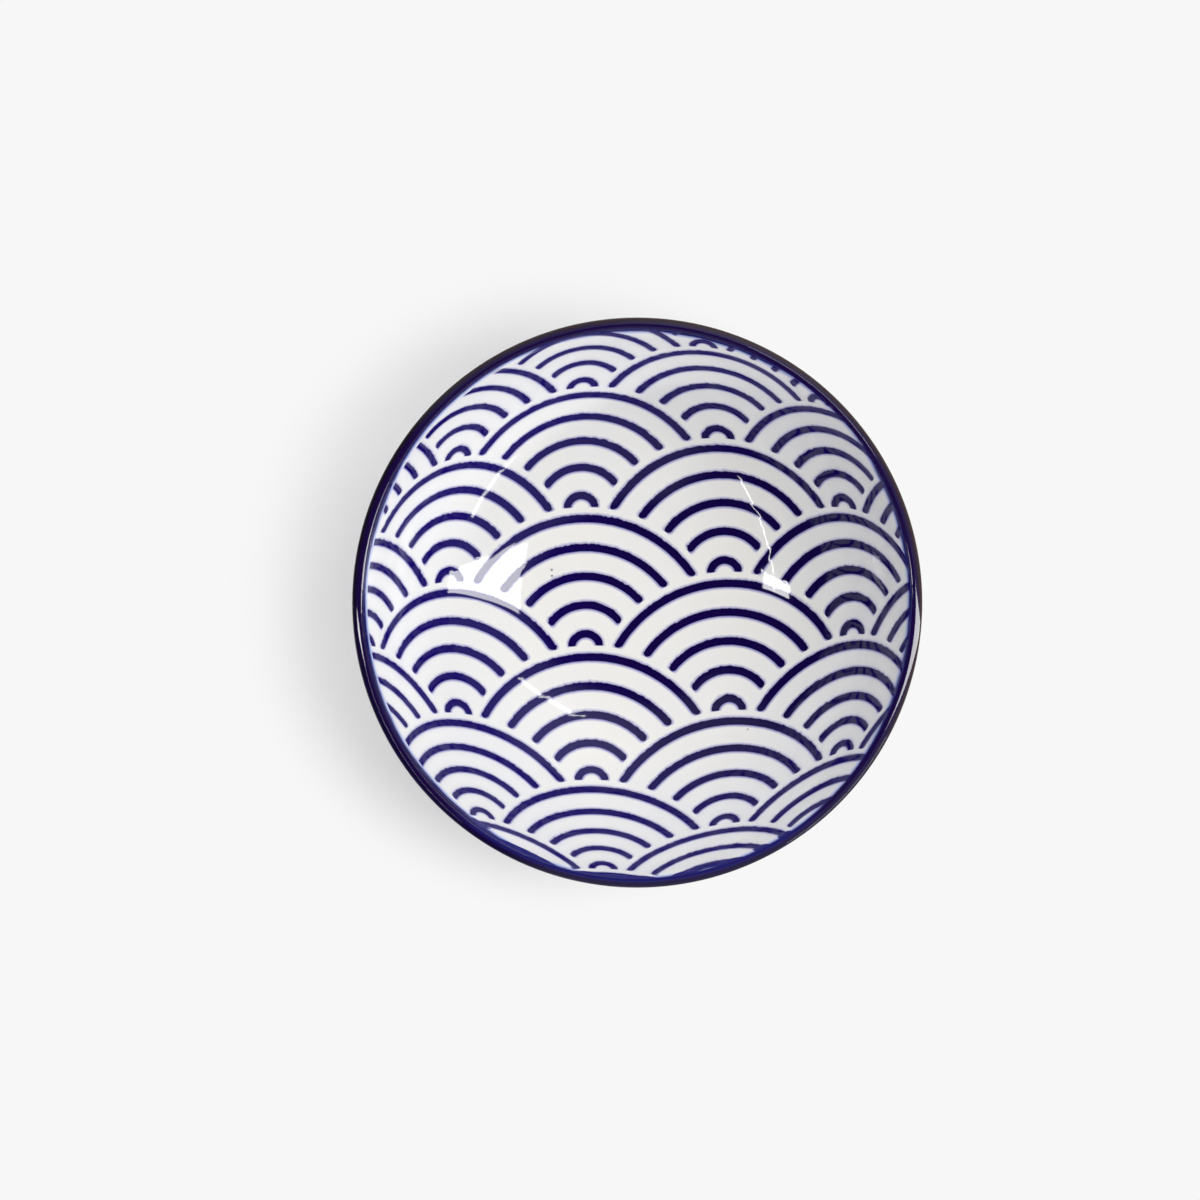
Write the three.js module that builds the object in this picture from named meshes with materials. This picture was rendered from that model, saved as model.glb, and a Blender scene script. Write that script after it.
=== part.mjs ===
// A footed porcelain bowl: a wheel-formed body on a luted foot ring, coated inside and out with clear
// glaze, with a brown iron band over the lip and a cobalt band on the inner half of it.
// Millimetres, +Z up. The origin is the centre of the circle on which the foot stands.
import * as THREE from "three";

// Driving dimensions of the finished bowl, glaze included
const RIM_DIAMETER = 150; // over the lip
const HEIGHT = 58; // from the table to the top of the lip
const LIP_THICKNESS = 3.3; // a full round edge
const WALL_LEAN = 64.7; // degrees above the horizontal, where the wall meets the lip
const FLOOR_THICKNESS = 6.5; // at the middle of the bowl
const FLOOR_REACH = 17; // how far the flat of the floor carries into the curve of the wall
const WELL_HEIGHT = 7.5; // from the table to the underside of the floor, at the middle

// Foot ring
const FOOT_DIAMETER = 64; // over the outside of the foot
const FOOT_WIDTH = 5.5; // across the ring, over both coats of glaze
const FOOT_CHAMFER = 0.6; // on both edges of the face that it stands on
const GLAZE_STOP = 1.4; // bare clay left above the table, where the glaze is wiped off

// Coats
const GLAZE_THICKNESS = 0.3;
const IRON_DROP = 2.4; // how far the iron band comes down the outside, below the round of the lip
const IRON_PAST_CREST = 10; // degrees round the lip, from its crest to the inner edge of the iron band
const COBALT_DROP = 1; // how far the cobalt band comes down the inside, below the round of the lip

// Fits: a coat lies this far off the clay, and the foot this far off the body
const COAT_GAP = 0.05;
const LUTE_GAP = 0.05;

// Fineness of the turned solids
const TURN_STEPS = 48;
const WALL_STEP = 8; // longest straight along the wall
const LIP_STEP = 24; // longest straight round the lip, in degrees

// Section of the wall
// The inside surface is one curve from the middle of the floor to the lip. Both of its handles lie in
// the plane of the floor, so it leaves the axis level and arrives at the lip at the lean of the wall.
const lean = THREE.MathUtils.degToRad(WALL_LEAN);
const lipRadius = LIP_THICKNESS / 2;
const floorTop = WELL_HEIGHT + FLOOR_THICKNESS;
const lipCentre = new THREE.Vector2(RIM_DIAMETER / 2 - lipRadius, HEIGHT - lipRadius);
const lipInside = new THREE.Vector2(
  lipCentre.x - lipRadius * Math.sin(lean),
  lipCentre.y + lipRadius * Math.cos(lean),
);
const wallHandle = lipInside.x - (lipInside.y - floorTop) / Math.tan(lean);
const insideCurve = new THREE.CubicBezierCurve(
  new THREE.Vector2(0, floorTop),
  new THREE.Vector2(FLOOR_REACH, floorTop),
  new THREE.Vector2(wallHandle, floorTop),
  lipInside,
);
const wallLength = insideCurve.getLength();

// A station is a place along the inside curve: 0 at the axis, 1 where the round of the lip starts.
const stationBelowLip = (distance) => 1 - distance / wallLength;

// Thickness of the finished wall at a station: full at the floor, drawn down to the lip.
const thicknessAt = (station) =>
  THREE.MathUtils.lerp(FLOOR_THICKNESS, LIP_THICKNESS, THREE.MathUtils.smoothstep(station, 0, 1));

// Depths below the inside surface, at a station
const coat = GLAZE_THICKNESS + COAT_GAP;
const insideFace = () => 0;
const insideGlazeBack = () => GLAZE_THICKNESS;
const clayInside = () => coat;
const clayOutside = (station) => thicknessAt(station) - coat;
const footSeat = (station) => clayOutside(station) + LUTE_GAP;
const outsideGlazeBack = (station) => thicknessAt(station) - GLAZE_THICKNESS;
const outsideFace = (station) => thicknessAt(station);

// The point at a station that lies the given depth below the inside surface, square to it.
function wallPoint(station, depthAt) {
  const point = insideCurve.getPointAt(station);
  const along = insideCurve.getTangentAt(station);
  const depth = depthAt(station);
  return new THREE.Vector2(point.x + along.y * depth, point.y - along.x * depth);
}

// The station at which a surface of the wall reaches a radius. The radius grows along the wall.
function stationAtRadius(radius, depthAt) {
  let low = 0;
  let high = 1;
  while (high - low > 1e-7) {
    const middle = (low + high) / 2;
    if (wallPoint(middle, depthAt).x < radius) low = middle;
    else high = middle;
  }
  return (low + high) / 2;
}

// Where the bands end: two of their edges are on the wall, and the one that they share is on the lip.
const ironEdge = stationBelowLip(IRON_DROP);
const cobaltEdge = stationBelowLip(COBALT_DROP);
const lipOutside = WALL_LEAN - 90; // degrees round the lip, from level and outward
const bandsMeet = 90 + IRON_PAST_CREST;
const lipInsideEnd = WALL_LEAN + 90;

// Values from the first edge to the last, with each stretch between two edges cut into equal steps.
function divided(edges, longestStep) {
  const values = edges.slice(1).flatMap((end, i) => {
    const start = edges[i];
    const steps = Math.max(1, Math.ceil((end - start) / longestStep));
    return Array.from({ length: steps }, (_, k) => start + ((end - start) * k) / steps);
  });
  return [...values, edges.at(-1)];
}

// Every piece shares these, so the straights of two surfaces that touch lie side by side.
const wallEdges = [0, cobaltEdge, ironEdge, 1].sort((a, b) => a - b);
const sharedStations = divided(wallEdges, WALL_STEP / wallLength);
const sharedAngles = divided([lipOutside, bandsMeet, lipInsideEnd], LIP_STEP);

// Points of one surface of the wall between two stations, in the order from the first to the second.
function wallLine(from, to, depthAt) {
  const low = Math.min(from, to);
  const high = Math.max(from, to);
  const between = sharedStations.filter((station) => station > low && station < high);
  const stations = [low, ...between, high];
  if (from > to) stations.reverse();
  return stations.map((station) => wallPoint(station, depthAt));
}

// Points round the lip at some radius, between two angles, in the order from the first to the second.
// A wall line already ends at the first and the last of the angles, so these two are left out.
function lipLine(from, to, radius) {
  const low = Math.min(from, to);
  const high = Math.max(from, to);
  const angles = sharedAngles.slice(1, -1).filter((angle) => angle >= low && angle <= high);
  if (from > to) angles.reverse();
  return angles.map((angle) => {
    const turn = THREE.MathUtils.degToRad(angle);
    const arm = new THREE.Vector2(Math.cos(turn), Math.sin(turn));
    return arm.multiplyScalar(radius).add(lipCentre);
  });
}

// Turns a section about the Z axis. Sections run anticlockwise, with the radius to the right and Z up.
function turned(name, section, finish) {
  const geometry = new THREE.LatheGeometry(section, TURN_STEPS).rotateX(Math.PI / 2);
  const mesh = new THREE.Mesh(geometry, new THREE.MeshStandardMaterial(finish));
  mesh.name = name;
  return mesh;
}

// A coat is a ring, so its section closes on itself.
const closed = (section) => [...section, section[0].clone()];

const biscuit = { color: 0xe9e4da, roughness: 0.85, metalness: 0 };
const clearGlaze = { color: 0xf4f4f0, roughness: 0.1, metalness: 0 };
const ironGlaze = { color: 0x2b1d18, roughness: 0.15, metalness: 0 };
const cobaltGlaze = { color: 0x1d1a6e, roughness: 0.12, metalness: 0 };

// The porcelain body: floor and wall in one, with a round lip.
function porcelainBody() {
  const section = [
    ...wallLine(0, 1, clayOutside),
    ...lipLine(lipOutside, lipInsideEnd, lipRadius - coat),
    ...wallLine(1, 0, clayInside),
  ];
  return turned("porcelain_body", section, biscuit);
}

// The foot ring, luted under the body. Its top follows the body, and its lower edges are chamfered.
function footRing() {
  const outer = FOOT_DIAMETER / 2 - coat;
  const inner = FOOT_DIAMETER / 2 - FOOT_WIDTH + coat;
  const seat = wallLine(stationAtRadius(outer, footSeat), stationAtRadius(inner, footSeat), footSeat);
  const section = [
    new THREE.Vector2(inner, FOOT_CHAMFER),
    new THREE.Vector2(inner + FOOT_CHAMFER, 0),
    new THREE.Vector2(outer - FOOT_CHAMFER, 0),
    new THREE.Vector2(outer, FOOT_CHAMFER),
    ...seat,
  ];
  return turned("foot_ring", closed(section), biscuit);
}

// Clear glaze over the inside, up to the cobalt band.
function innerGlaze() {
  const section = [
    ...wallLine(0, cobaltEdge, insideGlazeBack),
    ...wallLine(cobaltEdge, 0, insideFace),
  ];
  return turned("inner_glaze", section, clearGlaze);
}

// The cobalt band, from the clear glaze up over the inner half of the lip to the iron band.
function cobaltBand() {
  const section = [
    ...wallLine(cobaltEdge, 1, insideGlazeBack),
    ...lipLine(lipInsideEnd, bandsMeet, lipRadius - GLAZE_THICKNESS),
    ...lipLine(bandsMeet, lipInsideEnd, lipRadius),
    ...wallLine(1, cobaltEdge, insideFace),
  ];
  return turned("cobalt_band", closed(section), cobaltGlaze);
}

// The iron band, from its edge on the outside of the wall over the outer half of the lip and its crest.
function ironRim() {
  const section = [
    ...wallLine(ironEdge, 1, outsideFace),
    ...lipLine(lipOutside, bandsMeet, lipRadius),
    ...lipLine(bandsMeet, lipOutside, lipRadius - GLAZE_THICKNESS),
    ...wallLine(1, ironEdge, outsideGlazeBack),
  ];
  return turned("iron_rim", closed(section), ironGlaze);
}

// Clear glaze over the outside, from the iron band down the wall and the outer side of the foot.
function outerGlaze() {
  const face = FOOT_DIAMETER / 2;
  const back = face - GLAZE_THICKNESS;
  const section = [
    new THREE.Vector2(face, GLAZE_STOP),
    ...wallLine(stationAtRadius(face, outsideFace), ironEdge, outsideFace),
    ...wallLine(ironEdge, stationAtRadius(back, outsideGlazeBack), outsideGlazeBack),
    new THREE.Vector2(back, GLAZE_STOP),
  ];
  return turned("outer_glaze", closed(section), clearGlaze);
}

// Clear glaze in the well under the floor, down the inner side of the foot.
function footWellGlaze() {
  const face = FOOT_DIAMETER / 2 - FOOT_WIDTH;
  const back = face + GLAZE_THICKNESS;
  const section = [
    ...wallLine(0, stationAtRadius(face, outsideFace), outsideFace),
    new THREE.Vector2(face, GLAZE_STOP),
    new THREE.Vector2(back, GLAZE_STOP),
    ...wallLine(stationAtRadius(back, outsideGlazeBack), 0, outsideGlazeBack),
  ];
  return turned("foot_well_glaze", section, clearGlaze);
}

const bowl = new THREE.Group();
bowl.add(
  porcelainBody(),
  footRing(),
  innerGlaze(),
  cobaltBand(),
  ironRim(),
  outerGlaze(),
  footWellGlaze(),
);

export default bowl;
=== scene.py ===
# %% [markdown]
# # A porcelain bowl with a wave print
# A maker turns the body from white porcelain, lutes a foot under it, prints blue waves on it, bands the
# lip in cobalt and iron, and glazes all of it but the edge that it stands on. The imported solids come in
# first. They give every place and size, so no piece is fitted by eye, and each piece made below takes
# over from one of them.

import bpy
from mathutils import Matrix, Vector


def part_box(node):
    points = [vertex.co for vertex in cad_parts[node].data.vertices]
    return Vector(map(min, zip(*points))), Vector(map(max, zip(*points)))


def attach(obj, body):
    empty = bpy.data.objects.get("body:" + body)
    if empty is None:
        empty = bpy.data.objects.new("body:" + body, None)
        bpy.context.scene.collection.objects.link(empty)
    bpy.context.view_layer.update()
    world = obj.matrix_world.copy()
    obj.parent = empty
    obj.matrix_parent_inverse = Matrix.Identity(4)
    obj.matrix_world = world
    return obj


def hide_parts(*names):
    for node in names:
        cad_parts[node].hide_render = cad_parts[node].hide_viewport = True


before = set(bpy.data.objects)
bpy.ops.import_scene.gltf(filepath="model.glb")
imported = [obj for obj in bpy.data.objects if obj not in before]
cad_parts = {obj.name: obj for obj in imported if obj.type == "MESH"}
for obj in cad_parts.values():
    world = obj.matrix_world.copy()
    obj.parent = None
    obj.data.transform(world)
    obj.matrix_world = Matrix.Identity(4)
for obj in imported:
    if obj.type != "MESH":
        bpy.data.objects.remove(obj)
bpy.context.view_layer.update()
print("solids:", ", ".join(sorted(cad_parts)))

# %% [markdown]
# ## The camera
# The photograph looks straight down into the bowl. Its lip is as round in the picture as it is on the
# bowl, so the lens was long and far away: a short lens close by would show more of one wall than of the
# other. The lip is 570 pixels across, which sets the scale of the picture, and its middle lies to the
# right of the picture's middle. All sizes are in millimetres until a mesh or a place is made from them.

# %% Place the camera
import bpy
from mathutils import Vector

MM = 0.001
RIM_DIAMETER = 150
LIP_LEVEL = 56.35  # height of the middle of the lip's round
PHOTO_SIDE = 1200  # pixels
LIP_ACROSS = 570  # pixels
LIP_MIDDLE = Vector((637.25, 602.6))  # pixels, from the top left of the photograph
CAMERA_RISE = 900  # above the lip
SENSOR = 36  # across

scene = bpy.context.scene
scene.view_settings.view_transform = "Standard"
pixel = RIM_DIAMETER / LIP_ACROSS
lens = bpy.data.cameras.new("long_lens")
lens.sensor_width = SENSOR
lens.lens = lens.sensor_width * CAMERA_RISE / (PHOTO_SIDE * pixel)
camera = bpy.data.objects.new("camera", lens)
aside = (PHOTO_SIDE / 2 - LIP_MIDDLE.x) * pixel
upward = (LIP_MIDDLE.y - PHOTO_SIDE / 2) * pixel
camera.location = Vector((aside, upward, LIP_LEVEL + CAMERA_RISE)) * MM
scene.collection.objects.link(camera)
scene.camera = camera
print(f"lens {lens.lens:.1f} mm, camera {aside:.1f} mm and {upward:.1f} mm off the axis of the bowl")

# %% [markdown]
# ## The section of the bowl
# A turned piece is its section, spun about an axis, so the section is worth care. The inside is one
# smooth curve from the middle of the floor to the lip. It could be drawn with many points, but a Bezier
# curve needs four: two ends and two handles. Both handles lie level with the floor, so the curve leaves
# the axis flat and reaches the lip at the lean of the wall. The outside follows the inside at the
# thickness of the wall, which is drawn down from the floor to the lip. The lip is a chain of four
# arcs, because the light on it in the photograph is too wide for a plain round: a soft edge outside, a
# nearly flat shoulder where the lip was wiped, and a round crest and inner side.

# %% Draw the inside curve
from bisect import bisect_right
from itertools import accumulate, pairwise
from math import cos, pi, radians, sin, tan
from mathutils.geometry import interpolate_bezier

FLOOR_TOP = 14
FLOOR_REACH = 17
FLOOR_THICKNESS = 6.5
LIP_THICKNESS = 3.3
WALL_LEAN = 64.7  # degrees
LIP_OUTSIDE = WALL_LEAN - 90  # the way the wall faces below the lip, in degrees from level and outward
LIP_INSIDE = WALL_LEAN + 90
LIP_RISE = 0.25  # how far the wall goes on straight before the lip starts
LIP_ARCS = ((48, 1.0), (72, 4.0), (105, 1.02), (LIP_INSIDE, 1.13))  # degrees at its end, and radius
CURVE_POINTS = 2000

lip_radius = LIP_THICKNESS / 2
lip_middle = Vector((RIM_DIAMETER / 2 - lip_radius, 0, LIP_LEVEL))
lean = radians(WALL_LEAN)
lip_inside = lip_middle + lip_radius * Vector((-sin(lean), 0, cos(lean)))
floor_middle = Vector((0, 0, FLOOR_TOP))
floor_handle = Vector((FLOOR_REACH, 0, FLOOR_TOP))
wall_handle = Vector((lip_inside.x - (lip_inside.z - FLOOR_TOP) / tan(lean), 0, FLOOR_TOP))
inside_curve = interpolate_bezier(floor_middle, floor_handle, wall_handle, lip_inside, CURVE_POINTS)
lengths = list(accumulate(((b - a).length for a, b in pairwise(inside_curve)), initial=0))
depth_inside = LIP_LEVEL + lip_radius - FLOOR_TOP
print(f"the wall is {lengths[-1]:.1f} mm long, and the bowl {depth_inside:.0f} mm deep")

# %% Find a point of the section
def on_wall(share, depth):
    """The point a share of the way from the axis to the lip, at a depth square to the inside curve."""
    length = share * lengths[-1]
    i = min(max(bisect_right(lengths, length), 1), len(lengths) - 1)
    below, above = inside_curve[i - 1], inside_curve[i]
    along = (above - below).normalized()
    return below + along * (length - lengths[i - 1]) + Vector((along.z, 0, -along.x)) * depth


def facing(degrees):
    """The direction at an angle from level and outward."""
    return Vector((cos(radians(degrees)), 0, sin(radians(degrees))))


def on_lip(degrees, depth):
    """The point of the lip that faces an angle from level and outward, at a depth below its surface."""
    point = on_wall(1, LIP_THICKNESS) + LIP_RISE * facing(WALL_LEAN)
    start = LIP_OUTSIDE
    for end, radius in LIP_ARCS:
        stop = max(start, min(degrees, end))
        point += radius * (facing(stop) - facing(start))
        start = stop
    return point - depth * facing(degrees)


def thickness(share):
    """Thickness of the finished wall."""
    ease = share * share * (3 - 2 * share)
    return FLOOR_THICKNESS + (LIP_THICKNESS - FLOOR_THICKNESS) * ease


for share in (0, 0.5, 1):
    inner, outer = on_wall(share, 0), on_wall(share, thickness(share))
    where = f"inside at radius {inner.x:.1f}, height {inner.z:.1f}"
    print(f"share {share}: {where}; {(outer - inner).length:.1f} thick")
print("from the wall to the end of the lip:", on_lip(LIP_INSIDE, 0) - on_wall(1, 0))
print("crest of the lip:", on_lip(90, 0))

# %% Draw stretches of the section
def spread(start, end, steps):
    """Values from start to end in equal steps, with both ends."""
    return [start + (end - start) * i / steps for i in range(steps + 1)]


def wall_line(start, end, depth, steps=48):
    """Points along the wall between two shares of the way up, at a depth that changes with the share."""
    return [on_wall(share, depth(share)) for share in spread(start, end, steps)]


def lip_line(start, end, depth, step=3):
    """Points round the lip between two angles, with both ends."""
    return [on_lip(angle, depth) for angle in spread(start, end, round(abs(end - start) / step))]


def share_at(radius, depth, parts=20000):
    """The share of the way up the wall at which a depth of it reaches a radius."""

    def radius_at(part):
        return on_wall(part / parts, depth(part / parts)).x

    return bisect_right(range(parts), radius, key=radius_at) / parts


# %% [markdown]
# ## Turning a section
# The section is a chain of edges in the XZ plane. The spin operator sweeps it round the axis in equal
# steps and merges the last step with the first. Points on the axis end up many times in the same place,
# so doubles are merged, and the normals are worked out after that. A corner that glaze would round is
# bevelled on the chain, before the spin, where it is one vertex and not a whole ring.

# %% Spin a section into a piece
import bmesh

TURN_STEPS = 192
ROUND_SEGMENTS = 6
MERGE = 0.0001  # points nearer than this are one
SHARP = radians(35)


def turned(name, section, ring=True, rounded=None, climb=()):
    """Spins a section into a closed piece.

    rounded gives corners of the section and how far back they round. climb gives each point a value."""
    shape = bmesh.new()
    layer = shape.verts.layers.float.new("climb")
    chain = [shape.verts.new(point * MM) for point in section]
    for pair in pairwise(chain + chain[:1] if ring else chain):
        shape.edges.new(pair)
    for corner, value in zip(chain, climb):
        corner[layer] = value
    for i, back in (rounded or {}).items():
        bmesh.ops.bevel(
            shape,
            geom=[chain[i]],
            offset=back * MM,
            affect="VERTICES",
            segments=ROUND_SEGMENTS,
            profile=0.5,
            material=-1,
        )
    bmesh.ops.spin(
        shape,
        geom=shape.verts[:] + shape.edges[:],
        axis=(0, 0, 1),
        angle=2 * pi,
        steps=TURN_STEPS,
        use_merge=True,
    )
    bmesh.ops.remove_doubles(shape, verts=shape.verts[:], dist=MERGE * MM)
    bmesh.ops.recalc_face_normals(shape, faces=shape.faces[:])
    for face in shape.faces:
        face.smooth = True
    for edge in shape.edges:
        edge.smooth = edge.calc_face_angle(0) < SHARP
    open_edges = sum(not edge.is_manifold for edge in shape.edges)
    mesh = bpy.data.meshes.new(name)
    shape.to_mesh(mesh)
    shape.free()
    piece = bpy.data.objects.new(name, mesh)
    scene.collection.objects.link(piece)
    print(f"{name}: {len(mesh.polygons)} faces, {open_edges} open edges")
    return piece


def stands_for(piece, node):
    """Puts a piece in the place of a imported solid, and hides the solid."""
    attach(piece, "root")
    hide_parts(node)
    low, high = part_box(node)
    size = [round(side, 4) for side in piece.dimensions]
    print(f"  {piece.name} is {size} m, and the solid {[round(side, 4) for side in high - low]} m")


# %% [markdown]
# ## The clay body
# Under the glaze is the body that came off the wheel, floor, wall and round lip in one. The glaze hides
# all of it, but it is made to its full shape, because the coats lie on it. Its section starts and ends
# on the axis, so the chain stays open and the spin closes it.

# %% Turn the clay body
GLAZE = 0.3
GAP = 0.05  # between a coat and what it lies on

clay_top = GLAZE + GAP
clay_section = [
    *wall_line(0, 1, lambda share: thickness(share) - clay_top),
    *lip_line(LIP_OUTSIDE, LIP_INSIDE, clay_top),
    *wall_line(1, 0, lambda share: clay_top),
]
clay_body = turned("clay_body", clay_section, ring=False)
stands_for(clay_body, "porcelain_body")

# %% [markdown]
# ## The foot
# The foot is a plain ring, turned from a block of clay with a flat edge to stand on. Its section is a
# rectangle with a sloping top that follows the body. The two corners at the table would chip if they
# were left sharp, so a potter softens them with a sponge, and here a bevel does.

# %% Turn the foot
FOOT_RADIUS = 32
FOOT_WIDTH = 5.5
FOOT_ROUND = 0.8
SEAT_STEPS = 4

foot_outer = FOOT_RADIUS - clay_top
foot_inner = FOOT_RADIUS - FOOT_WIDTH + clay_top


def foot_seat(share):
    """Depth of the top of the foot."""
    return thickness(share) - clay_top + GAP


foot_section = [
    Vector((foot_inner, 0, 0)),
    Vector((foot_outer, 0, 0)),
    *wall_line(share_at(foot_outer, foot_seat), share_at(foot_inner, foot_seat), foot_seat, SEAT_STEPS),
]
bare_foot = turned("bare_foot", foot_section, rounded={0: FOOT_ROUND, 1: FOOT_ROUND})
stands_for(bare_foot, "foot_ring")

# %% [markdown]
# ## The coats over the inside and the lip
# The glaze is a skin about a third of a millimetre thick, which could be left out and only painted. It
# is made as a piece of its own because the record keeps each coat apart, and because its edge then has
# the true thickness. The clear coat covers the inside. The cobalt band goes on from there over the inner
# half of the lip, and the iron band over its crest and down the outside.

# %% Turn the inside coat and the two bands
COBALT_DROP = 1
IRON_DROP = 2.4
BANDS_MEET = 100  # degrees round the lip
COAT_STEPS = 64
COBALT_STEPS = 3
IRON_STEPS = 4

cobalt_edge = 1 - COBALT_DROP / lengths[-1]
iron_edge = 1 - IRON_DROP / lengths[-1]


def face_in(share):
    """Depth of the face of the inside coat."""
    return 0


def back_in(share):
    """Depth of its back."""
    return GLAZE


def face_out(share):
    """Depth of the face of the outside coat."""
    return thickness(share)


def back_out(share):
    """Depth of its back."""
    return thickness(share) - GLAZE


inside_section = [
    *wall_line(0, cobalt_edge, back_in, COAT_STEPS),
    *wall_line(cobalt_edge, 0, face_in, COAT_STEPS),
]
printed_inside = turned("wave_printed_inside", inside_section, ring=False)
stands_for(printed_inside, "inner_glaze")

cobalt_section = [
    *wall_line(cobalt_edge, 1, back_in, COBALT_STEPS),
    *lip_line(LIP_INSIDE, BANDS_MEET, GLAZE),
    *lip_line(BANDS_MEET, LIP_INSIDE, 0),
    *wall_line(1, cobalt_edge, face_in, COBALT_STEPS),
]
cobalt_band = turned("cobalt_lip_band", cobalt_section)
stands_for(cobalt_band, "cobalt_band")

iron_section = [
    *wall_line(iron_edge, 1, face_out, IRON_STEPS),
    *lip_line(LIP_OUTSIDE, BANDS_MEET, 0),
    *lip_line(BANDS_MEET, LIP_OUTSIDE, GLAZE),
    *wall_line(1, iron_edge, back_out, IRON_STEPS),
]
iron_band = turned("iron_lip_band", iron_section)
stands_for(iron_band, "iron_rim")

# %% [markdown]
# ## The coats over the outside and under the foot
# Outside, the glaze runs from the iron band down the wall and the side of the foot, and stops short of
# the table, where it is wiped off so that the bowl doesn't stick to the kiln shelf. It pools in the
# corner between wall and foot, so that corner of the section is rounded. The waves outside are drawn
# smaller towards the foot. To know how far up its drawing a point lies, each point of the section carries
# a value named climb, which grows by the step along the wall over the radius there.

# %% Turn the outside coat and the coat in the well
GLAZE_STOP = 1.4  # above the table
POOL = 1.6  # how far back pooled glaze rounds a corner
EDGE_ROUND = 0.14
WELL_STEPS = 24

outside_face = wall_line(share_at(FOOT_RADIUS, face_out), iron_edge, face_out, COAT_STEPS)
outside_back = wall_line(iron_edge, share_at(FOOT_RADIUS - GLAZE, back_out), back_out, COAT_STEPS)
outside_section = [
    Vector((FOOT_RADIUS, 0, GLAZE_STOP)),
    *outside_face,
    *outside_back,
    Vector((FOOT_RADIUS - GLAZE, 0, GLAZE_STOP)),
]
climb_steps = ((b - a).length * 2 / (a.x + b.x) for a, b in pairwise(outside_face))
climb_face = list(accumulate(climb_steps, initial=0))
foot_climb = (GLAZE_STOP - outside_face[0].z) / FOOT_RADIUS
climb = [foot_climb, *climb_face, *reversed(climb_face), foot_climb]
end = len(outside_section) - 1
printed_outside = turned(
    "wave_printed_outside",
    outside_section,
    rounded={0: EDGE_ROUND, 1: POOL, end: EDGE_ROUND},
    climb=climb,
)
stands_for(printed_outside, "outer_glaze")

well_radius = FOOT_RADIUS - FOOT_WIDTH
well_face = wall_line(0, share_at(well_radius, face_out), face_out, WELL_STEPS)
well_section = [
    *well_face,
    Vector((well_radius, 0, GLAZE_STOP)),
    Vector((well_radius + GLAZE, 0, GLAZE_STOP)),
    *wall_line(share_at(well_radius + GLAZE, back_out), 0, back_out, WELL_STEPS),
]
corner = len(well_face)
glazed_well = turned(
    "glazed_foot_well",
    well_section,
    ring=False,
    rounded={corner - 1: POOL, corner: EDGE_ROUND, corner + 1: EDGE_ROUND},
)
stands_for(glazed_well, "foot_well_glaze")

# %% [markdown]
# ## Writing materials as sums
# A material is a tree of nodes, and a long sum of Math nodes is hard to read as a tree. So one small
# class holds a socket and answers to Python's operators: adding two wires adds a Math node and gives the
# wire that leaves it. Every other node comes from one method, which sets the node up first and then fills
# its sockets with numbers, colours or other wires.

# %% Wrap a socket
class Wire:
    """A socket of a material. Sums on it add nodes, and give the wire that holds the answer."""

    def __init__(self, socket):
        self.socket = socket

    def node(self, kind, inputs, output=0, **settings):
        """Adds a node with its settings and what its sockets hold, and gives one of its outputs."""
        tree = self.socket.id_data
        made = tree.nodes.new(kind)
        for name, value in settings.items():
            setattr(made, name, value)
        for name, value in inputs.items():
            if isinstance(value, Wire):
                tree.links.new(value.socket, made.inputs[name])
            else:
                made.inputs[name].default_value = value
        return Wire(made.outputs[output])

    def feeds(self, socket):
        self.socket.id_data.links.new(self.socket, socket)

    def math(self, operation, *values):
        return self.node("ShaderNodeMath", dict(enumerate((self, *values))), operation=operation)

    def vector(self, operation, other=(0, 0, 0)):
        """A sum on two vectors, or on a vector and a number for SCALE."""
        second = 3 if operation == "SCALE" else 1
        answer = int(operation in ("DISTANCE", "DOT_PRODUCT", "LENGTH"))  # these three give a number
        return self.node("ShaderNodeVectorMath", {0: self, second: other}, answer, operation=operation)

    def __add__(self, other):
        return self.math("ADD", other)

    def __sub__(self, other):
        return self.math("SUBTRACT", other)

    def __rsub__(self, other):
        return self * -1 + other

    def __mul__(self, other):
        return self.math("MULTIPLY", other)

    def __truediv__(self, other):
        return self.math("DIVIDE", other)

    def __rtruediv__(self, other):
        return self**-1 * other

    def __pow__(self, other):
        return self.math("POWER", other)

    def __lt__(self, other):
        return self.math("LESS_THAN", other)

    def __gt__(self, other):
        return self.math("GREATER_THAN", other)

    def __floor__(self):
        return self.math("FLOOR")

    def __ceil__(self):
        return self.math("CEIL")

    __radd__ = __add__
    __rmul__ = __mul__

    def least(self, other):
        return self.math("MINIMUM", other)

    def most(self, other):
        return self.math("MAXIMUM", other)

    def ramp(self, low, high):
        """0 at low and 1 at high, with soft ends. low may be the larger."""
        inputs = {"Value": self, "From Min": low, "From Max": high}
        return self.node("ShaderNodeMapRange", inputs, interpolation_type="SMOOTHSTEP")

    def pick(self, yes, no):
        """yes where this wire is 1, and no where it is 0."""
        return self.node("ShaderNodeMix", {0: self, 2: no, 3: yes})

    def tint(self, under, over):
        """The colour under where this wire is 0, and the colour over where it is 1."""
        return self.node("ShaderNodeMix", {0: self, 6: under, 7: over}, 2, data_type="RGBA")

    def part(self, axis):
        return self.node("ShaderNodeSeparateXYZ", {0: self}, axis)

    def noise(self, size, detail=2, roughness=0.5):
        """Cloudy noise, about 0.5 in the middle, with clouds of a size in millimetres."""
        inputs = {"Vector": self, "Scale": 1 / size, "Detail": detail, "Roughness": roughness}
        return self.node("ShaderNodeTexNoise", inputs)


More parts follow.
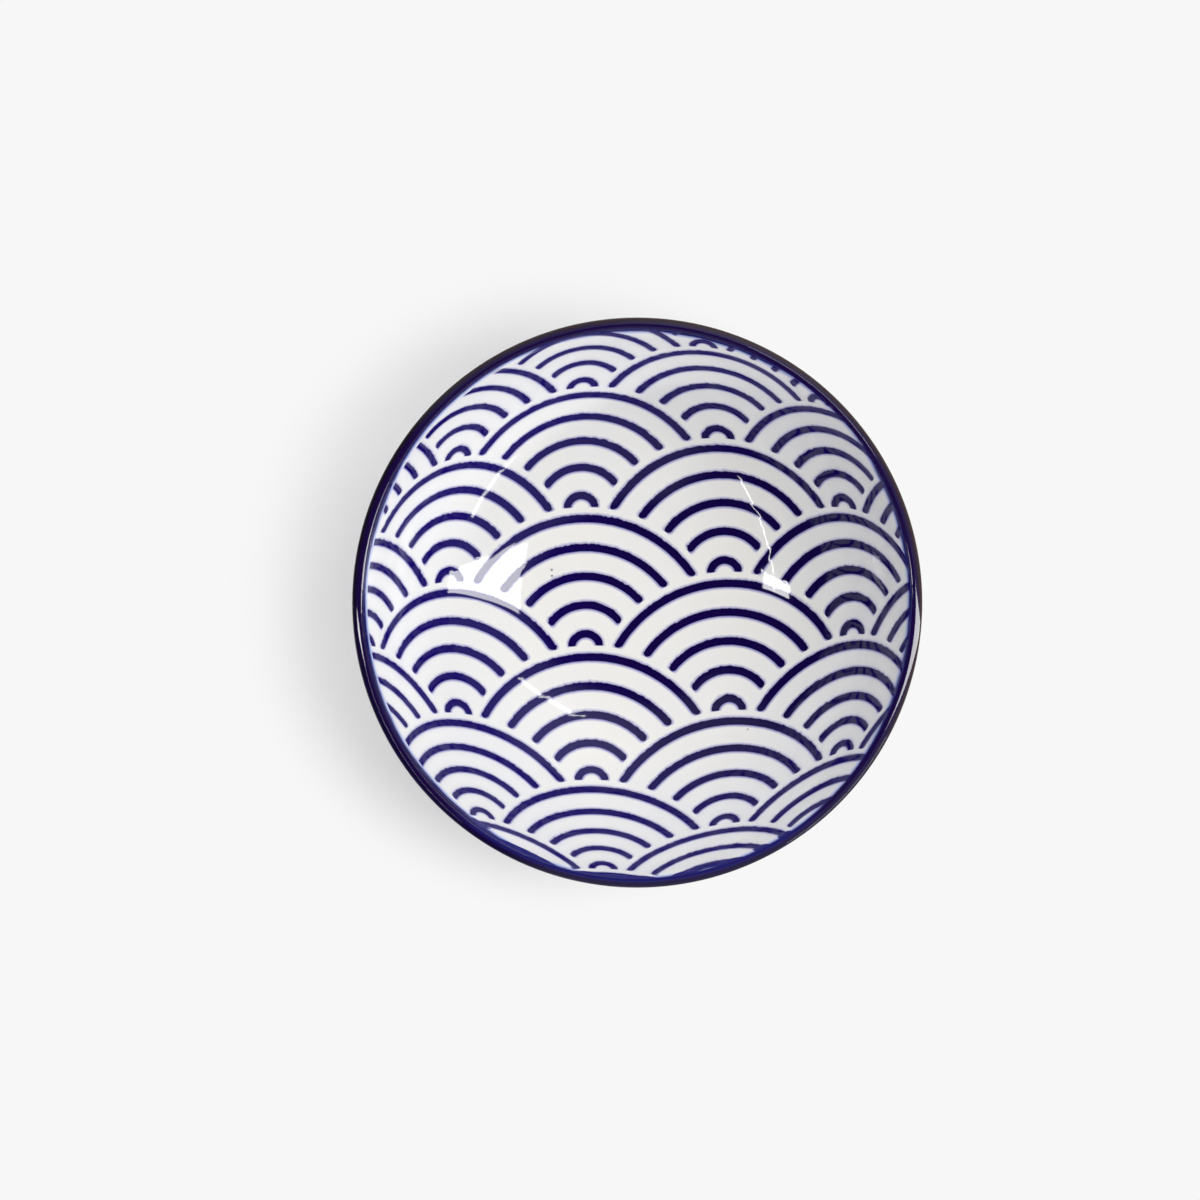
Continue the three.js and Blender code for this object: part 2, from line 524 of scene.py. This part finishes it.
# %% [markdown]
# ## Starting a finish
# All the finishes are a Principled shader, which reads the place on the piece in millimetres. Fired glaze
# is glass, with hardly any roughness. Its index is set a little below that of glass, because the dark ink
# in the photograph mirrors less than glass would. It isn't perfectly even: it lies in shallow waves one
# or two centimetres long that bend reflections a little, and a bump of a few hundredths of a millimetre
# gives that. Much on this bowl changes from one side to another, so one function gives a wire that grows
# from 0 to 1 towards a side.

# %% Start a finish and give it a glaze
GLAZE_INDEX = 1.37
GLAZE_WAVES = 0.025  # how high they rise
WAVE_LENGTH = 16
PEEL, PEEL_LENGTH = 0.02, 1.4  # a finer unevenness, against the height of the waves
CLOUDED, CLOUD_LENGTH = 0.03, 7  # the most that clouds add to the roughness
LEVEL = (1, 1, 0)  # times a place, leaves out its height


def colour(red, green, blue):
    return (red, green, blue, 1)


def begin(name):
    """A new material, its shader, and the place on the piece in millimetres."""
    material = bpy.data.materials.new(name)
    material.use_nodes = True
    tree = material.node_tree
    place = Wire(tree.nodes.new("ShaderNodeTexCoord").outputs["Object"])
    return material, tree.nodes["Principled BSDF"], place.vector("SCALE", 1 / MM)


def to_side(place, direction, ends):
    """A wire that goes from 0 to 1 between two distances from the axis in a direction."""
    return place.vector("DOT_PRODUCT", direction).ramp(*ends)


def bumped(shader, height, rise):
    """Lets a surface rise by so many millimetres where a height is 1."""
    inputs = {"Strength": 1, "Distance": rise * MM, "Height": height}
    height.node("ShaderNodeBump", inputs).feeds(shader.inputs["Normal"])


def glaze_over(shader, place, under, relief=0, gloss=0.02):
    """A coat of clear glaze over a colour. relief is added to its waves, and is below zero in a dip."""
    under.feeds(shader.inputs["Base Color"])
    shader.inputs["IOR"].default_value = GLAZE_INDEX
    (gloss + CLOUDED * place.noise(CLOUD_LENGTH, 3)).feeds(shader.inputs["Roughness"])
    bumped(shader, place.noise(WAVE_LENGTH, 1) + PEEL * place.noise(PEEL_LENGTH, 1) + relief, GLAZE_WAVES)


# %% [markdown]
# ## The wave print
# The print is a very old pattern of overlapping fans, like scales or waves on the sea. Each fan is five
# arcs about one middle, and each row of fans covers the lower half of the row behind. It could be drawn
# as an image, but a rule is sharper and follows any size: find the frontmost fan that reaches a point,
# and the distance from that fan's middle tells which arc is near. An arc ends with a round tip a little
# before the edge of the fan in front, so the distance to that edge is kept as well.

# %% Draw the waves
from math import ceil, floor

HALF_PITCH = 38.73  # half the distance between fans in a row
ROW_RISE = 19.0
ARC_PITCH = 7.903
ARCS = 5
FAN_MARGIN = 3.07  # white beyond the outer arc
LINE_WIDTH = 2.49
RAGGED_INSIDE = 0.25  # how ragged the inner edge is, against the outer
FAR = 99  # beyond every fan


def waves(sheet, ragged):
    """Distance from the ink at a place on the flat print, and the side of the line: 1 outside, 0 inside.

    The distance is below zero in the ink. ragged moves the edges of a line in and out."""
    across_sheet, up_sheet = sheet.part("X"), sheet.part("Y")
    fan = ARC_PITCH * (ARCS - 0.5) + FAN_MARGIN
    front = ceil((up_sheet - fan) / ROW_RISE)
    from_middle, to_front_fan = FAR, FAR
    for behind in (2, 1, 0):
        row = front + behind
        across = (across_sheet - HALF_PITCH * row).math("WRAP", HALF_PITCH, -HALF_PITCH)
        up = up_sheet - ROW_RISE * row
        distance = (across * across + up * up) ** 0.5
        in_fan = distance < fan
        from_middle = in_fan.pick(distance, from_middle)
        to_front_fan = in_fan.pick(FAR, (distance - fan).least(to_front_fan))
    arc = floor(from_middle / ARC_PITCH).least(ARCS - 1)
    off_line = from_middle - ARC_PITCH * (arc + 0.5)
    outside = off_line > 0
    past_tip = (LINE_WIDTH / 2 - to_front_fan).most(0)
    reach = (off_line * off_line + past_tip * past_tip) ** 0.5
    return reach - LINE_WIDTH / 2 + ragged * outside.pick(1, RAGGED_INSIDE), outside


# %% [markdown]
# ## Ink and bleed
# Cobalt ink isn't one blue. It is nearly black where it lies thick, and a little lighter where it lies
# thin, in spots. Here it is also darkest on the floor a little right of the middle and lighter further
# out, and the lighter streaks in it are painted reflection of fine hairlines in the glaze. The outer edge
# of each line is ragged, as a stamp leaves it, and the lines are a little wider on the right wall, where
# the stamp was pressed harder. Into the glaze the ink bleeds a violet that pales within a millimetre, a
# little less of it on the outer side. Ink takes up less glaze than the white does, so the surface dips a
# little along each line, and a reflection breaks where it crosses one. Up the wall a faint haze of blue
# lies in the white. The white of the porcelain is a shade warm on the floor, and cooler in clouds and up
# the wall, where the glaze lies thinner.

# %% Colour the print
DEEP_INK = colour(0.0055, 0.0009, 0.052)
THIN_INK = colour(0.008, 0.0015, 0.12)
DARKEST_INK_PLACE = (25, 0, 20)  # where the ink is darkest
LIGHTER_INK_ENDS = (25, 80)  # distances from there between which it turns lighter
MOTTLE = 0.6  # how much it thins and thickens in spots, and lightens and darkens in streaks of painted reflection
BRUSH = {"Scale": (0.5, 2.5, 1), "Rotation": (0, 0, 0.9)}  # draws the noise out into the streaks of painted reflection
RAGGED = (1.1, 0.35)  # how far an edge goes in and out, in rough places and in clean ones
RIGHT_WALL = ((1, 0, 0), (25, 60))  # a direction, and the distances where it starts and is reached
PRESSED = (0.07, -0.1)  # how much wider each edge of a line lies, on the right wall and elsewhere
INK_EDGE = (0.05, -0.2)  # distances from the ink between which it becomes solid
BLEED = colour(0.27, 0.26, 0.57)
BLEED_EDGE = (0.8, -0.1)
BLEED_OUTSIDE = 0.75  # against the inner side
HAZE, HAZE_EDGE, HAZE_HEIGHTS = 0.1, (2.2, 0), (25, 45)  # against the bleed
INK_DIP, DIP_EDGE = 0.5, (0.3, -LINE_WIDTH / 2)  # against the waves of the glaze
WARM_WHITE = colour(0.875, 0.862, 0.822)
COOL_WHITE = colour(0.848, 0.850, 0.858)
COOL_HEIGHTS = (16, 44)
COOL_UP, COOL_CLOUDS = 0.8, 0.4  # how much cooler the white is up the wall, and in clouds


def clouded(place):
    """The white of the porcelain."""
    clouds = place.noise(22, 2).ramp(0.35, 0.7)
    cool = COOL_UP * place.part("Z").ramp(*COOL_HEIGHTS) + COOL_CLOUDS * clouds
    return cool.tint(WARM_WHITE, COOL_WHITE)


def printed(place, sheet, white, kept=1):
    """The colours of the print on a white, the dip of the glaze, and the distance from the ink.

    sheet is the place on the flat print. kept is 0 where the print was trimmed off."""
    rough = place.noise(14, 2).ramp(0.35, 0.65)
    ragged = rough.pick(*RAGGED) * (place.noise(1.5, 3, 0.6) - 0.5)
    from_ink, outside = waves(sheet, ragged)
    from_ink = from_ink - to_side(place, *RIGHT_WALL).pick(*PRESSED)
    ink = from_ink.ramp(*INK_EDGE) * kept
    bleed = from_ink.ramp(*BLEED_EDGE) * outside.pick(BLEED_OUTSIDE, 1)
    haze = HAZE * from_ink.ramp(*HAZE_EDGE) * place.part("Z").ramp(*HAZE_HEIGHTS)
    bleed = bleed.most(haze) * kept
    spots = place.noise(1.1, 4, 0.65)
    # streaks of lighter ink: painted reflection of fine hairlines in the glaze
    reflected_streaks = place.node("ShaderNodeMapping", {"Vector": place, **BRUSH}).noise(0.9, 3, 0.6)
    # the ink turns lighter away from one place on the floor, thins and thickens in spots, and lightens in
    # streaks of painted reflection
    thin = place.vector("DISTANCE", DARKEST_INK_PLACE).ramp(*LIGHTER_INK_ENDS) + MOTTLE * (spots + reflected_streaks - 1)
    dip = -INK_DIP * from_ink.ramp(*DIP_EDGE)
    return ink.tint(bleed.tint(white, BLEED), thin.tint(DEEP_INK, THIN_INK)), dip, from_ink


# %% [markdown]
# ## The print in the bowl
# The print is laid on flat and pressed down into the bowl, so seen from above it keeps its shape on the
# floor and draws together up the wall. The distance from the axis gives how much, by a short sum in its
# square. A Mapping node then slides and turns the flat print to where it lies in the photograph.

# %% Lay the print in the bowl
DRAWN_IN = (-0.0503, 0.2207, 0.1357)  # for the first, second and third power of the square
DRAWN_FROM = (-0.12, 0.39, 0)  # the way from the print's middle to the axis
DRAWN_RADIUS = 73
PRINT_SHIFT = (14.208, 11.704, 0)
PRINT_TURN = -0.0323  # radians

inside_finish, shader, place = begin("waves and cobalt under clear glaze")
plan = place.vector("MULTIPLY", LEVEL)
pressed = plan.vector("ADD", DRAWN_FROM)
square = pressed.vector("DOT_PRODUCT", pressed) / DRAWN_RADIUS**2
first, second, third = DRAWN_IN
stretch = 1 + square * (first + square * (second + square * third))
flat = pressed.vector("SCALE", stretch)
turned_to = {"Vector": flat, "Location": PRINT_SHIFT, "Rotation": (0, 0, PRINT_TURN)}
sheet = flat.node("ShaderNodeMapping", turned_to)

# %% [markdown]
# ## The cobalt band
# The cobalt is brushed on over the print while the bowl turns. Where the band ends is told by the
# distance from the axis, as the height that the slope of the wall has there, so that the edge runs on
# evenly over the round of the lip. It wanders, lifts towards the crest on three sides, and fades through
# a pale blue that stains the white below it. On the near side the cobalt lies thin, shows blue up to the
# crest, and pools between the band and the lines that end on it. One finish for both pieces keeps the
# edge whole. On the left the print was trimmed a hair short of the band. A few flecks of iron came
# through the white in the firing.

# %% Brush on the cobalt band
COBALT_EDGE = (55.8, 56.7)  # heights at which the cobalt starts and is solid
PALE_EDGE = (54.9, 56.1)  # the same for the pale blue
EDGE_WANDER = ((1.6, 30, 2), (0.5, 4, 3))  # how far, over what length, and the detail of the noise
EDGE_LIFTS = (  # how far, and on which side
    (1.85, (0.28, -0.96, 0), (42, 68)),
    (1, (0.71, 0.71, 0), (68.5, 71.5)),
    (0.7, (-0.6, 0.8, 0), (62, 71)),
)
LEFT_WALL = ((-1, 0, 0), (20, 45))
PRINT_END = (55.4, 55.6)  # heights between which the print is trimmed off, on the left
BLUE_SIDE = ((0, -1, 0), (52, 62))  # the near side, where the cobalt shows blue up to the crest
POOL_RISE, POOL_REACH = 1.3, (1.3, 0.4)  # how much lower the edge lies in a pool, and how near to ink
THIN_LOW, THIN_HEIGHTS = 0.5, (57.6, 56.6)  # how much thinner the cobalt lies low down
THIN_RIGHT, RIGHT_SIDE = 0.3, ((1, 0, 0), (-20, 60))  # how much thinner to the right
THIN_BLUE = 0.6  # how much thinner on the near side
PALE_BLUE = colour(0.39, 0.46, 0.81)
DEEP_COBALT = colour(0.004, 0.0015, 0.065)
THIN_COBALT = colour(0.006, 0.005, 0.17)
CREST = colour(0.009, 0.002, 0.046)  # cobalt run into iron
NEAR_CREST = colour(0.012, 0.010, 0.12)  # the same on the near side
CREST_TOP = on_lip(90, 0).z
RUN_OVER = (CREST_TOP - 0.5, CREST_TOP - 0.05)  # heights between which the cobalt turns to that
FLECKS = ((-23.07, 8.97, 0.55), (-23.0, 7.35, 0.5), (30.4, -34.5, 0.35))  # places from above, and radii
IRON_FLECK = colour(0.09, 0.09, 0.14)

height = lip_inside.z + (plan.vector("LENGTH") - lip_inside.x) * tan(lean)
for far, length, detail in EDGE_WANDER:
    height = height + far * (place.noise(length, detail) - 0.5)
for far, direction, ends in EDGE_LIFTS:
    height = height - far * to_side(place, direction, ends)
stained = height.ramp(*PALE_EDGE).tint(clouded(place), PALE_BLUE)
trimmed = to_side(place, *LEFT_WALL) * place.part("Z").ramp(*PRINT_END)
drawing, relief, from_ink = printed(place, sheet, stained, 1 - trimmed)
specks = sum(plan.vector("DISTANCE", (x, y, 0)).ramp(radius, 0) for x, y, radius in FLECKS)
flecked = specks.tint(drawing, IRON_FLECK)
blue = to_side(place, *BLUE_SIDE)
thin = THIN_LOW * height.ramp(*THIN_HEIGHTS) + THIN_RIGHT * to_side(place, *RIGHT_SIDE)
thin = thin + THIN_BLUE * blue + place.noise(2.5, 4) - 0.5
brushed = thin.tint(DEEP_COBALT, THIN_COBALT)
band = place.part("Z").ramp(*RUN_OVER).tint(brushed, blue.tint(CREST, NEAR_CREST))
pooled = height + POOL_RISE * blue * from_ink.ramp(*POOL_REACH)
glaze_over(shader, place, pooled.ramp(*COBALT_EDGE).tint(flecked, band), relief)
for piece in (printed_inside, cobalt_band):
    piece.data.materials.append(inside_finish)
print("inside finish:", len(inside_finish.node_tree.nodes), "nodes")

# %% [markdown]
# ## The iron band
# The iron is a brown that fires almost black where it is thick. On the crest the cobalt runs into it and
# turns it to a dark purple, and on the near side the blue shows through all of it, most on the crest.
# Outside the crest the band is browner towards the far right and darker towards the left, and mottled.

# %% Finish the iron band
DARK_IRON = colour(0.006, 0.003, 0.008)
BROWN_IRON = colour(0.034, 0.016, 0.016)
BLUED_IRON = colour(0.005, 0.002, 0.032)
# how much browner the band turns towards the far right, and on which side; it is darker to the left
IRON_BROWNER, BROWNER_SIDE = 0.7, ((1, 0.6, 0), (-60, 50))
IRON_MOTTLE, MOTTLE_MIDDLE = 0.6, 0.3
BLUED_SIDE = ((-0.2, -0.98, 0), (-10, 55))
RUN_IN = (CREST_TOP - 0.8, CREST_TOP - 0.05)  # heights between which the cobalt runs into the iron
RUN_WANDER = 0.3
BLUER = (CREST_TOP - 0.25, CREST_TOP)  # heights between which the near crest turns bluer
IRON_GLOSS = 0.03

iron_finish, shader, place = begin("iron band")
# browner towards the far right and darker to the left, and mottled in clouds
thin = IRON_BROWNER * to_side(place, *BROWNER_SIDE) + IRON_MOTTLE * (place.noise(4, 4, 0.6) - MOTTLE_MIDDLE)
iron = to_side(place, *BLUED_SIDE).tint(thin.tint(DARK_IRON, BROWN_IRON), BLUED_IRON)
run_in = (place.part("Z") + RUN_WANDER * (place.noise(3, 3) - 0.5)).ramp(*RUN_IN)
bluer = to_side(place, *BLUE_SIDE) * place.part("Z").ramp(*BLUER)
glaze_over(shader, place, run_in.tint(iron, bluer.tint(CREST, NEAR_CREST)), gloss=IRON_GLOSS)
iron_band.data.materials.append(iron_finish)

# %% [markdown]
# ## The printed outside
# The outside isn't in the photograph. Such a bowl carries the same waves there, drawn smaller towards
# the foot so that a whole number of fans goes round. The angle round the axis and the climb up the wall
# make a flat drawing that keeps its shape, since both are measured against the radius. A cobalt line
# closes the drawing where the wall meets the foot, and below it the glaze is plain.

# %% Finish the outside
FANS_ROUND = 6
LINE_TOP = 0.055  # climb at the top of the cobalt line
LINE_SOFT = 0.004
LINE_FOOT = (0.004, 0.012)  # climb at which the line starts and is solid
DRAWING_SOFT = 0.002
IRON_RUN = colour(0.25, 0.17, 0.12)
RUN_SHARE = 0.6  # how much iron runs into the glaze
RUN_DOWN, RUN_UP = 1.2, 0.2  # how far from the edge of the iron band

outside_finish, shader, place = begin("waves under clear glaze, outside")
spread_out = FANS_ROUND * HALF_PITCH / pi
angle = place.part("Y").math("ARCTAN2", place.part("X"))
climb_wire = place.node("ShaderNodeAttribute", {}, "Fac", attribute_name="climb")
flat = {"X": angle * spread_out, "Y": climb_wire * spread_out}
sheet = place.node("ShaderNodeCombineXYZ", flat)
plain = clouded(place)
drawing, relief, _ = printed(place, sheet, plain)
line = climb_wire.ramp(LINE_TOP + LINE_SOFT, LINE_TOP - LINE_SOFT) * climb_wire.ramp(*LINE_FOOT)
above = climb_wire.ramp(LINE_TOP - DRAWING_SOFT, LINE_TOP + DRAWING_SOFT)
banded = line.tint(above.tint(plain, drawing), THIN_INK)
iron_height = on_wall(iron_edge, thickness(iron_edge)).z
run = RUN_SHARE * place.part("Z").ramp(iron_height - RUN_DOWN, iron_height + RUN_UP)
glaze_over(shader, place, run.tint(banded, IRON_RUN), relief * above)
printed_outside.data.materials.append(outside_finish)
print("climb at the iron band:", round(climb_face[-1], 3))

# %% [markdown]
# ## The well and the bare foot
# Inside the foot the glaze is plain white, with a few pinholes where gas left it in the kiln. The edge
# that stands on the table is bare. It is matt and a little darker than the glazed white, with fine
# turning rings.

# %% Finish the well, the foot and the clay
PINHOLE = colour(0.42, 0.36, 0.30)
PINHOLE_CELL = 4.5  # no more than one hole in each cell of this size
PINHOLE_EDGE = (0.06, 0.035)  # from its middle, against the cell
PINHOLE_RARE = 0.8  # the share of cells without one
BISCUIT = colour(0.72, 0.68, 0.61)
PALE_BISCUIT = colour(0.79, 0.75, 0.69)
WORN, WORN_SHARE = colour(0.55, 0.50, 0.43), 0.6
MATT, MATT_GRAIN = 0.75, 0.15  # its roughness, and how much the grain adds
RING_PITCH, RING_SHARE = 0.7, 0.3  # from ring to ring, and their height against the grain
GRAIN_RISE = 0.03

well_finish, shader, place = begin("plain clear glaze")
cells = {"Vector": place, "Scale": 1 / PINHOLE_CELL}
to_hole = place.node("ShaderNodeTexVoronoi", cells, "Distance")
rare = place.node("ShaderNodeTexVoronoi", cells, "Color").part("X") > PINHOLE_RARE
pinholes = to_hole.ramp(*PINHOLE_EDGE) * rare
glaze_over(shader, place, pinholes.tint(clouded(place), PINHOLE))
glazed_well.data.materials.append(well_finish)

clay_finish, shader, place = begin("bare porcelain")
grain = place.noise(0.5, 4, 0.7)
stain = WORN_SHARE * place.noise(6, 3).ramp(0.45, 0.8)
clay = grain.ramp(0.2, 0.9).tint(BISCUIT, PALE_BISCUIT)
stain.tint(clay, WORN).feeds(shader.inputs["Base Color"])
(MATT + MATT_GRAIN * grain).feeds(shader.inputs["Roughness"])
radius = place.vector("MULTIPLY", LEVEL).vector("LENGTH")
rings = (radius * (2 * pi / RING_PITCH)).math("SINE")
bumped(shader, RING_SHARE * rings + grain, GRAIN_RISE)
for piece in (clay_body, bare_foot):
    piece.data.materials.append(clay_finish)

# %% [markdown]
# ## The table
# The bowl stands on a plain pale table, wide enough that no view finds its edge. In the photograph it is
# an even white but for a soft shadow close to the bowl. So what the camera and the reflections see of it
# goes over from the lit table near the bowl to its own even white further out, while the light that
# bounces on to the bowl comes from the lit table alone.

# %% Lay the table
TABLE_HALF = 6  # metres
EVEN_WHITE = 0.93
EVEN_LEAST = 0.04  # the share of even white close to the bowl
SHADOW_MIDDLE = (-22, 4, 0)  # millimetres
SHADOW_ENDS = (66, 92)  # from its middle
PAPER = (colour(0.9, 0.9, 0.9), colour(0.88, 0.88, 0.88))
PAPER_CLOUDS = 400
PAPER_ROUGHNESS = 0.9

shape = bmesh.new()
bmesh.ops.create_grid(shape, x_segments=1, y_segments=1, size=TABLE_HALF)
mesh = bpy.data.meshes.new("table")
shape.to_mesh(mesh)
shape.free()
table = bpy.data.objects.new("table", mesh)
scene.collection.objects.link(table)

table_finish, shader, place = begin("pale table")
paper = place.noise(PAPER_CLOUDS, 2).tint(*PAPER)
paper.feeds(shader.inputs["Base Color"])
shader.inputs["Roughness"].default_value = PAPER_ROUGHNESS
shader.inputs["Specular IOR Level"].default_value = 0
away = place.vector("DISTANCE", SHADOW_MIDDLE)
by_camera = place.node("ShaderNodeLightPath", {}, "Is Camera Ray")
by_glaze = place.node("ShaderNodeLightPath", {}, "Is Glossy Ray")
seen = by_camera.most(by_glaze)
share = away.ramp(*SHADOW_ENDS) * (1 - EVEN_LEAST) + EVEN_LEAST
even = place.node("ShaderNodeEmission", {"Strength": EVEN_WHITE})
mixed = even.node("ShaderNodeMixShader", {0: seen * share, 1: Wire(shader.outputs[0]), 2: even})
mixed.feeds(table_finish.node_tree.nodes["Material Output"].inputs["Surface"])
table.data.materials.append(table_finish)

# %% [markdown]
# ## The lamps
# The glaze is a mirror, so it shows where the lamps were. A long panel hung to the right, lying flat
# above the table: its near end is the bright patch left of the middle. A small panel hung to the left,
# with a thin tube beside it. A narrow gap let light in on the far side, and a low strip near the table's
# right corner. Each is an area lamp that faces the bowl. It is hung twice, once as light and once as
# shine in the glaze, so that the two can be balanced as a photographer does with a filter. The shine
# hangs a little nearer, where a mirrored ray meets it before it meets the light. Three wide soft lamps
# fill in the shadows and have no shine, as if black cards kept them out of the glaze.

# %% Hang the lamps
from mathutils import Matrix

SHINE_NEARER = 0.998  # against the light


def panel(name, start, end, width, light, shine=0):
    """A flat lamp between two places in metres from the middle of the lip.

    light and shine are how bright it is, against white."""
    along = (end - start).normalized()
    middle = (start + end) / 2
    side = middle.cross(along).normalized()
    turn = Matrix((along, side, along.cross(side))).transposed().to_euler()
    for use, brightness, near in (("light", light, 1), ("shine", shine, SHINE_NEARER)):
        if not brightness:
            continue
        lamp = bpy.data.lights.new(f"{name}_{use}", "AREA")
        lamp.shape = "RECTANGLE"
        lamp.size, lamp.size_y = (end - start).length, width
        lamp.energy = brightness * pi * lamp.size * lamp.size_y
        hung = bpy.data.objects.new(lamp.name, lamp)
        hung.location = middle * near + Vector((0, 0, LIP_LEVEL * MM))
        hung.rotation_euler = turn
        hung.visible_camera = False
        hung.visible_diffuse = use == "light"
        hung.visible_glossy = use == "shine"
        scene.collection.objects.link(hung)
        print(f"{lamp.name}: {lamp.energy:.1f} W over {lamp.size:.2f} by {lamp.size_y:.2f} m")


panel("long_panel", Vector((0.76, -0.165, 1)), Vector((8, -0.78, 1)), 0.47, light=1.5, shine=20)
panel("small_panel", Vector((-0.91, -0.16, 1)), Vector((-1.49, -0.09, 1)), 0.14, light=1, shine=26)
panel("tube", Vector((-1.11, -0.12, 1)), Vector((-1.11, -1.42, 1)), 0.015, light=27, shine=36)
panel("gap", Vector((0.37, 0.82, 1)), Vector((1, 0.61, 1)), 0.04, light=38, shine=19)
panel("low_strip", Vector((3.3, -1.75, 1)), Vector((2.8, -4.4, 1)), 0.12, light=49, shine=19)
panel("soft_above", Vector((-0.8, 0, 1.4)), Vector((0.8, 0, 1.4)), 1.6, light=1.23)
panel("soft_far", Vector((-0.8, 1.3, 1)), Vector((0.8, 1.3, 1)), 1.6, light=0.86)
panel("soft_near", Vector((-0.8, -1.3, 1)), Vector((0.8, -1.3, 1)), 1.6, light=0.82)

# %% [markdown]
# ## The room
# What the dark ink mirrors gives the room away. Straight overhead it was dark, where the camera hung. It
# was dark on the left too, and pale on the other sides, brightest on the far side and a little right, a
# third of the way up. The world gets these parts by sums on the direction that a ray leaves in, and a
# pale white for the camera.

# %% Light the room
PALE_SIDE = 13  # degrees round from the right
PALE_ENDS = (-0.7, -0.45)  # cosines of the angle from there, where the dark ends and the pale starts
BRIGHT_SIDE, BRIGHT_HEIGHT = 65, 35  # degrees
BRIGHT_ENDS = (0.85, 1)
OVERHEAD, LOW_DOWN = (0.9, 0.8), (0.3, 0.1)  # sines of the height
WALLS, LOW_WALLS, BRIGHT, DARK = 0.36, 0.14, 0.5, 0.03  # shades against white
SHINE_MORE = 0.5  # how much brighter the glaze sees the room


def aim(side, height):
    """The direction at an angle round from the right and an angle above the table, in degrees."""
    around, above = radians(side), radians(height)
    return Vector((cos(above) * cos(around), cos(above) * sin(around), sin(above)))


room = bpy.data.worlds.new("room")
scene.world = room
room.use_nodes = True
background = room.node_tree.nodes["Background"]
direction = Wire(room.node_tree.nodes.new("ShaderNodeTexCoord").outputs["Generated"])
compass = direction.vector("MULTIPLY", LEVEL).vector("NORMALIZE")
to_pale = compass.vector("DOT_PRODUCT", aim(PALE_SIDE, 0))
to_bright = direction.vector("DOT_PRODUCT", aim(BRIGHT_SIDE, BRIGHT_HEIGHT))
up = direction.part("Z")
walls = (WALLS * up.ramp(*OVERHEAD) + LOW_WALLS * up.ramp(*LOW_DOWN)) * to_pale.ramp(*PALE_ENDS)
lit = walls + BRIGHT * to_bright.ramp(*BRIGHT_ENDS) + DARK
shine = 1 + SHINE_MORE * direction.node("ShaderNodeLightPath", {}, "Is Glossy Ray")
seen = direction.node("ShaderNodeLightPath", {}, "Is Camera Ray")
shade = seen.pick(EVEN_WHITE, lit * shine)
grey = shade.node("ShaderNodeCombineColor", {"Red": shade, "Green": shade, "Blue": shade})
grey.feeds(background.inputs["Color"])
